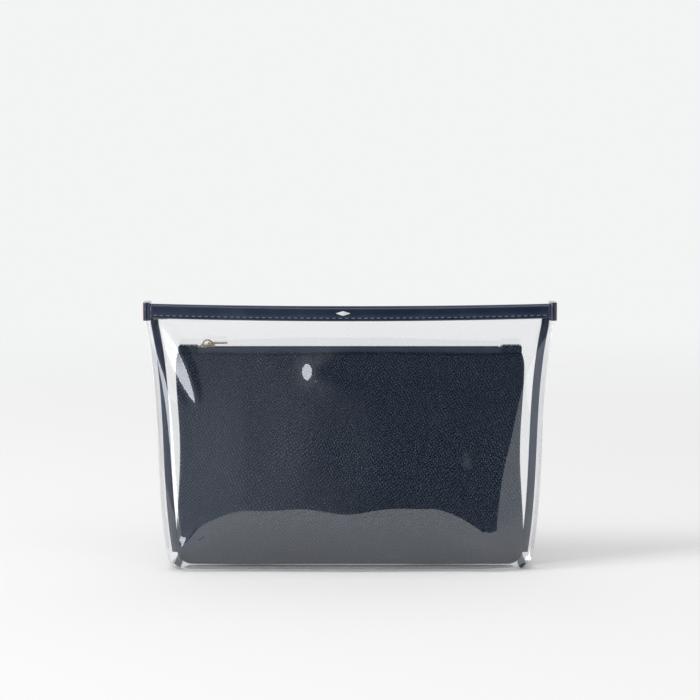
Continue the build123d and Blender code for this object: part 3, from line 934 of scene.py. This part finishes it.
def pebble_group():
    """Pebble grain: swollen cells of uneven size, creases between them, and a slow change of tone; the
    crease mask is used for painted shade.
    """
    group = bpy.data.node_groups.new("pebble_grain", "ShaderNodeTree")
    group.interface.new_socket("Scale", in_out="INPUT", socket_type="NodeSocketFloat")
    for name in ("Relief", "Crease", "Tone"):
        group.interface.new_socket(name, in_out="OUTPUT", socket_type="NodeSocketFloat")
    scale = add_node(group, "NodeGroupInput").outputs["Scale"]
    place = object_place(group)
    parts = add_node(group, "ShaderNodeSeparateXYZ", {0: place}).outputs
    flat = add_node(group, "ShaderNodeCombineXYZ", {0: parts["X"], 1: parts["Z"]}).outputs[0]
    bend = add_node(group, "ShaderNodeTexNoise", {"Vector": flat, "Scale": 13, "Detail": 1}).outputs["Color"]
    push = add_vector_math(group, "SUBTRACT", {0: bend, 1: (0.5, 0.5, 0.5)})
    pushed = add_vector_math(group, "SCALE", {0: push, "Scale": 0.02})
    bent = add_vector_math(group, "ADD", {0: flat, 1: pushed})
    turn = {"Vector": bent, "Rotation": (0, 0, -0.6), "Scale": (1, 0.8, 1)}
    leaning = add_node(group, "ShaderNodeMapping", turn).outputs[0]
    inputs = {"Vector": leaning, "Scale": scale, "Randomness": 0.5}
    kind = {"voronoi_dimensions": "2D", "feature": "DISTANCE_TO_EDGE"}
    cells = add_node(group, "ShaderNodeTexVoronoi", inputs, **kind).outputs["Distance"]
    creases = add_ramp(group, cells, 0.03, 0.34, 1.0, 0.0)
    dome = add_ramp(group, cells, 0.0, 0.42)
    fine = add_noise(group, place, 2600, 3)
    relief = add_math(group, "ADD", dome, add_math(group, "MULTIPLY", fine, 0.01))
    tone = add_noise(group, place, 45, 3)
    add_node(group, "NodeGroupOutput", {"Relief": relief, "Crease": creases, "Tone": tone})
    return group


pebble = pebble_group()
material, tree, output = new_material("navy_pebble_leather")
grain = add_node(tree, "ShaderNodeGroup", {"Scale": 700}, node_tree=pebble).outputs
colour = add_mix(tree, grain["Tone"], (0.021, 0.033, 0.062, 1), (0.035, 0.05, 0.088, 1))
# Painted shade: the creases between the pebbles are painted near black, darker than the leather.
colour = add_mix(tree, grain["Crease"], colour, (0.0035, 0.0075, 0.016, 1))
rough = add_ramp(tree, grain["Crease"], 0, 1, 0.42, 0.7)
foot = add_node(tree, "ShaderNodeSeparateXYZ", {0: object_place(tree)}).outputs["Z"]
bump = add_bump(tree, grain["Relief"], add_ramp(tree, foot, 0.012, 0.04, 0.1, 0.9), 0.0007)
inputs = {"Base Color": colour, "Roughness": rough, "Specular IOR Level": 0.4,
          "Specular Tint": (0.68, 0.85, 1, 1), "Normal": bump}
add_principled(tree, output, inputs)
navy_leather = material

for name, side in front_and_back("leather_panel"):
    panel = new_grid(name, panel_columns, panel_rows)
    points = read_points(panel)
    u = np.sign(points[:, 0]) * (1 - (1 - np.abs(points[:, 0])) ** 1.7)
    height = pouch_height * (0.5 + 0.5 * np.sin(points[:, 1] * np.pi / 2))
    x, y, z = pouch_skin(u, height, cut=0, folded=True)
    place_points(panel, x, -side * y, z)
    close_up(panel)
    edit(panel)
    bpy.ops.mesh.select_all(action="SELECT")
    mesh = bmesh.from_edit_mesh(panel.data)
    # The faces are turned away from the pouch's middle, so that the leather thickens inward.
    facing = sum(face.normal.y * face.calc_area() for face in mesh.faces)
    if facing * side < 0:
        bpy.ops.mesh.flip_normals()
    bpy.ops.object.mode_set(mode="OBJECT")
    apply_modifier(panel, "SOLIDIFY", thickness=leather * mm, offset=-1)
    smooth(panel, 50)
    settle(panel, "pouch", "navy_leather", navy_leather, name.replace("leather_panel", "pouch_leather"))

# Pouch lining.
# A thin bag of plain woven cloth inside the leather, folded at the foot and sewn up both sides. Its top
# edge is sewn to the tails of the zip tapes.
lining_gap = 0.15
lining = 0.4
lining_slack = 0.2
lining_swell = 0.25
lining_columns = 70
lining_rows = 90
lining_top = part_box("pouch_lining")[1].z / mm
lining_bag = new_grid("pouch_lining_bag", lining_columns, lining_rows)
points = read_points(lining_bag)
lining_cut = leather + lining_gap
tall = lining_top - pouch_foot - lining_cut
height = lining_cut + tall * np.abs(points[:, 1]) ** 1.3
u = np.sin(points[:, 0] * np.pi / 2)
x, y, z = pouch_skin(u, height, cut=lining_cut + lining_slack, folded=False)
y -= lining_swell * np.sin(x / 9) * np.sin(z / 13) * (np.abs(y) > 2)
place_points(lining_bag, x, -y * np.sign(points[:, 1]), z)
close_up(lining_bag)
apply_modifier(lining_bag, "SOLIDIFY", thickness=lining * mm, offset=-1)
smooth(lining_bag, 60)
# The two dark blue-greys are the lining's painted shade, dark in the weave's hollows and light on its
# threads.
lining_cloth = woven("pouch_lining_cloth", (0.016, 0.02, 0.03, 1), (0.036, 0.043, 0.06, 1), 14000, 0.85, 0.2)
settle(lining_bag, "pouch", "lining_cloth", lining_cloth, "pouch_lining")

# Pouch zip tapes.
# Woven tape behind the leather's edge. It stands over the edge as a smooth strip and turns in to the
# coil, which is sewn to it.
pouch_zip_level = (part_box("front_pouch_coil")[0].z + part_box("front_pouch_coil")[1].z) / 2 / mm
tape_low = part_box("front_pouch_zip_tape")[0] / mm
tape_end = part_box("front_pouch_zip_tape")[1].x / mm
tape_bend = 0.7
tape_wave = 0.12
pouch_tape_columns = 110
pouch_tape_rows = 30
for name, side in front_and_back("pouch_tape"):
    tape = new_grid(name, pouch_tape_columns, pouch_tape_rows)
    points = read_points(tape)
    x = points[:, 0] * tape_end
    run = (points[:, 1] + 1) / 2
    stand = -tape_low.y - tape_thickness / 2
    deck = stand - tape_bend - chain_half
    round_bend = tape_bend * math.pi / 2
    drop = pouch_zip_level - tape_bend - tape_low.z
    gone = run * (deck + round_bend + drop)
    turn = np.clip((gone - deck) / tape_bend, 0, math.pi / 2)
    after = np.clip(gone - deck - round_bend, 0, None)
    y = np.where(gone < deck, chain_half + gone, stand - tape_bend + tape_bend * np.sin(turn))
    z = pouch_zip_level - tape_bend * (1 - np.cos(turn)) - after
    y = y - tape_wave * np.sin(x / 5.3) * np.sin(x / 17) * (turn > 1)
    place_points(tape, x, side * y, z)
    close_up(tape)
    apply_modifier(tape, "SOLIDIFY", thickness=tape_thickness * mm, offset=0, use_even_offset=True)
    smooth(tape, 50)
    settle(tape, "pouch", "navy_tape", navy_tape, name.replace("_tape", "_zip_tape"))

# Pouch coil.
# The same nylon coil as at the mouth, between the two leather end tabs.
pouch_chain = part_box("front_pouch_coil")[1].x / mm
for name, side in front_and_back("pouch_coil_half"):
    coil = zip_half(name, side, pouch_chain, pouch_zip_level)
    settle(coil, "pouch", "navy_coil", navy_coil, name.replace("_half", ""))

# Pouch edge stitches.
# Small tight stitches in dark navy thread along the top edge, in the groove that they pull.
# The two navies are the thread's painted shade: the darker in the twist's grooves, the lighter on its plies.
navy_thread = thread_material("dark_navy_thread", (0.001, 0.002, 0.004, 1), (0.006, 0.009, 0.017, 1))
edge_stitch_length = 1.6
edge_stitch_thickness = 0.34
edge_stitch_stand = 0.1
edge_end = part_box("front_pouch_stitches")[1].x / mm
for name, side in front_and_back("pouch_stitch_row"):
    row = stitch_row(name, edge_stitch_pitch, edge_stitch_length, edge_stitch_thickness, edge_end)
    points = read_points(row) / mm
    x = points[:, 0]
    height = np.full_like(x, pouch_height - edge_stitch_drop)
    _, skin_y, skin_z = pouch_skin(x / pouch_width_at(height), height, cut=0, folded=True)
    place_points(row, x, side * (edge_stitch_stand - skin_y) + points[:, 1], skin_z + points[:, 2])
    smooth(row, 60)
    settle(row, "pouch", "navy_thread", navy_thread, name.replace("stitch_row", "stitches"))

# Pouch zip tabs.
# The zip's ends are covered by folded leather tabs, pressed thin at their edges, with the panels' grain.
# They are a little narrower on top than where they meet the leather.
leather_tab_taper = (0.96, 0.82, 1)
leather_tab_roll = 0.9
for side, name in ((-1, "left_leather_tab"), (1, "right_leather_tab")):
    node = name.replace("leather_tab", "pouch_zip_tab")
    tab_low, tab_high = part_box(node)
    tab_low.z = pouch_top * mm
    tab = new_block(name, tab_low, tab_high)
    edit(tab)
    bpy.context.tool_settings.mesh_select_mode = (False, False, True)
    bpy.ops.mesh.select_all(action="SELECT")
    bpy.ops.mesh.subdivide(number_cuts=5)
    pick_faces(tab, lambda normal: normal.z > 0.9)
    bpy.ops.transform.resize(value=leather_tab_taper, center_override=(tab_low + tab_high) / 2)
    bpy.ops.object.mode_set(mode="OBJECT")
    round_edges(tab, leather_tab_roll, 4, 40)
    close_up(tab)
    smooth(tab, 50)
    settle(tab, "pouch", "navy_leather", navy_leather, node)
